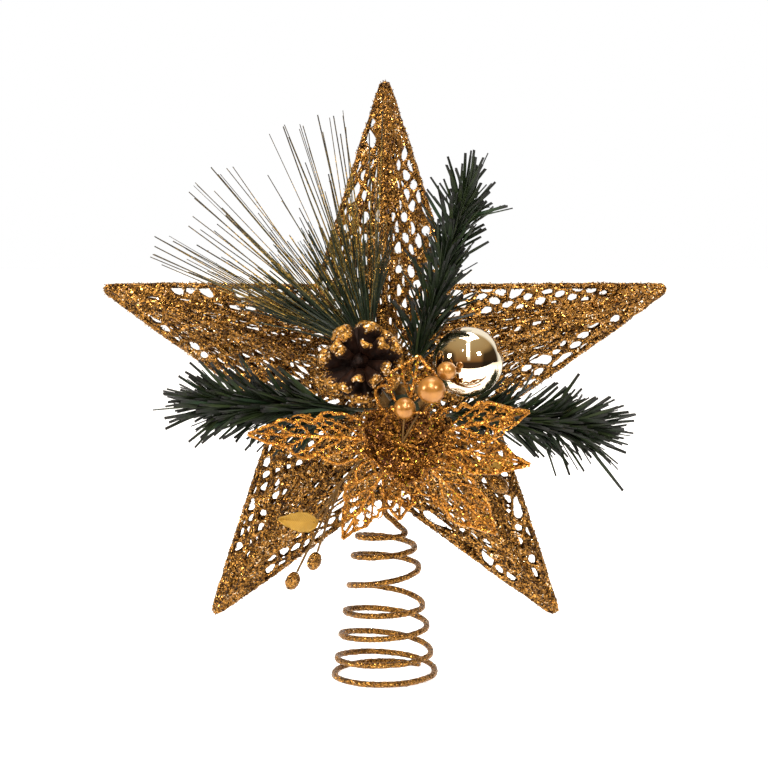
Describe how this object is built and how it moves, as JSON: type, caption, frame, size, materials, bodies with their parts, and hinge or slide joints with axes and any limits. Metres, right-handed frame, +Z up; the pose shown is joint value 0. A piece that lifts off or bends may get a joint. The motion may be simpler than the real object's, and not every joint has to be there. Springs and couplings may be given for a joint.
{
  "type": "christmas tree topper star",
  "caption": "Gold glitter wire star for a tree top, puffed netting front and back, on a conical coil that slips over the leader, with a pine, cone, ball and flower pick in front.",
  "frame": {"origin": "on the coil's axis at its foot, where the tree's leader goes in", "axes": "+Z up along the coil, front of the star faces -Y, +X to the viewer's right"},
  "size_m": [0.2562, 0.1069, 0.2727],
  "materials": {
    "glitter_wire": "gold glitter over wire",
    "glitter_net": "gold glitter over netting",
    "plain_wire": "bare wire",
    "glue": "set glue",
    "green_tape": "stem tape",
    "cone_wood": "dry cone, gold on the scale tips",
    "mirror_gold": "metallised mirror",
    "cap_metal": "plated",
    "glitter_lace": "gold glitter",
    "gold_pearl": "pearl",
    "green_wire": "painted wire",
    "green_needles": "matt film",
    "spray_needles": "gold glitter on green",
    "gold_stem": "painted wire",
    "satin_gold": "satin",
    "glitter_bud": "gold glitter"
  },
  "bodies": {
    "tree_mount": {"spring_coil": "glitter_wire"},
    "coil_head": {"frame_lashing": "glitter_wire"},
    "star": {"star_outline_wire": "glitter_wire", "front_ridge_wires": "glitter_wire", "back_ridge_wires": "glitter_wire", "front_net_top": "glitter_net", "front_net_left": "glitter_net", "front_net_lower_left": "glitter_net", "front_net_lower_right": "glitter_net", "front_net_right": "glitter_net", "back_net_top": "glitter_net", "back_net_left": "glitter_net", "back_net_lower_left": "glitter_net", "back_net_lower_right": "glitter_net", "back_net_right": "glitter_net", "pick_staple": "plain_wire", "glue_pad": "glue", "pick_core": "green_tape", "pine_cone": "cone_wood", "cone_wire": "plain_wire", "ball_wire": "plain_wire", "flower_hub": "glitter_lace", "flower_stem": "green_tape", "upper_petal": "glitter_lace", "right_petal": "glitter_lace", "lower_right_petal": "glitter_lace", "lower_left_petal": "glitter_lace", "left_petal": "glitter_lace", "side_petal": "glitter_lace", "bottom_petal": "glitter_lace", "berry_beads": "gold_pearl", "berry_wires": "plain_wire"},
    "upper_branch": {"upper_branch_stem": "green_wire", "upper_branch_needles": "green_needles"},
    "left_branch": {"left_branch_stem": "green_wire", "left_branch_needles": "green_needles"},
    "right_branch": {"right_branch_stem": "green_wire", "right_branch_needles": "green_needles"},
    "needle_spray": {"spray_stem": "green_wire", "spray_needles": "spray_needles"},
    "ball": {"ball_shell": "mirror_gold", "ball_cap": "cap_metal"},
    "left_leaf_spray": {"left_leaf_stem": "gold_stem", "left_leaf_blades": "satin_gold", "left_leaf_buds": "glitter_bud"},
    "right_leaf_spray": {"right_leaf_stem": "gold_stem", "right_leaf_blades": "satin_gold", "right_leaf_buds": "glitter_bud"}
  },
  "joints": [
    {"name": "spring_press", "type": "slide", "parent": "tree_mount", "child": "coil_head", "axis": [0, 0, -1], "range_m": [0, 0.025], "stiffness_N_per_m": 600, "springref_m": -0.006, "deforming": ["spring_coil"]},
    {"name": "star_lean", "type": "hinge", "parent": "coil_head", "child": "star", "pos_m": [0, 0, 0.0855], "axis": [1, 0, 0], "range_deg": [-10, 10], "deforming": ["spring_coil"]},
    {"name": "upper_branch_bend", "type": "hinge", "parent": "star", "child": "upper_branch", "pos_m": [0.00957, -0.03695, 0.13449], "axis": [1, 0, 0], "range_deg": [-3, 10]},
    {"name": "left_branch_swing", "type": "hinge", "parent": "star", "child": "left_branch", "pos_m": [0.00053, -0.03645, 0.12717], "axis": [0, 1, 0], "range_deg": [-10, 9]},
    {"name": "right_branch_swing", "type": "hinge", "parent": "star", "child": "right_branch", "pos_m": [0.01591, -0.03445, 0.12637], "axis": [0, -1, 0], "range_deg": [-5, 10]},
    {"name": "spray_swing", "type": "hinge", "parent": "star", "child": "needle_spray", "pos_m": [0.00415, -0.03065, 0.13344], "axis": [0, -1, 0], "range_deg": [-3, 9]},
    {"name": "ball_spin", "type": "hinge", "parent": "star", "child": "ball", "pos_m": [0.03573, -0.04545, 0.14941], "axis": [-0.7339, 0.3037, -0.6076], "continuous": true},
    {"name": "left_leaf_swing", "type": "hinge", "parent": "star", "child": "left_leaf_spray", "pos_m": [0.00308, -0.03245, 0.12118], "axis": [0, 1, 0], "range_deg": [-4, 12]},
    {"name": "right_leaf_swing", "type": "hinge", "parent": "star", "child": "right_leaf_spray", "pos_m": [0.01395, -0.03145, 0.12175], "axis": [0, -1, 0], "range_deg": [-6, 8]}
  ]
}
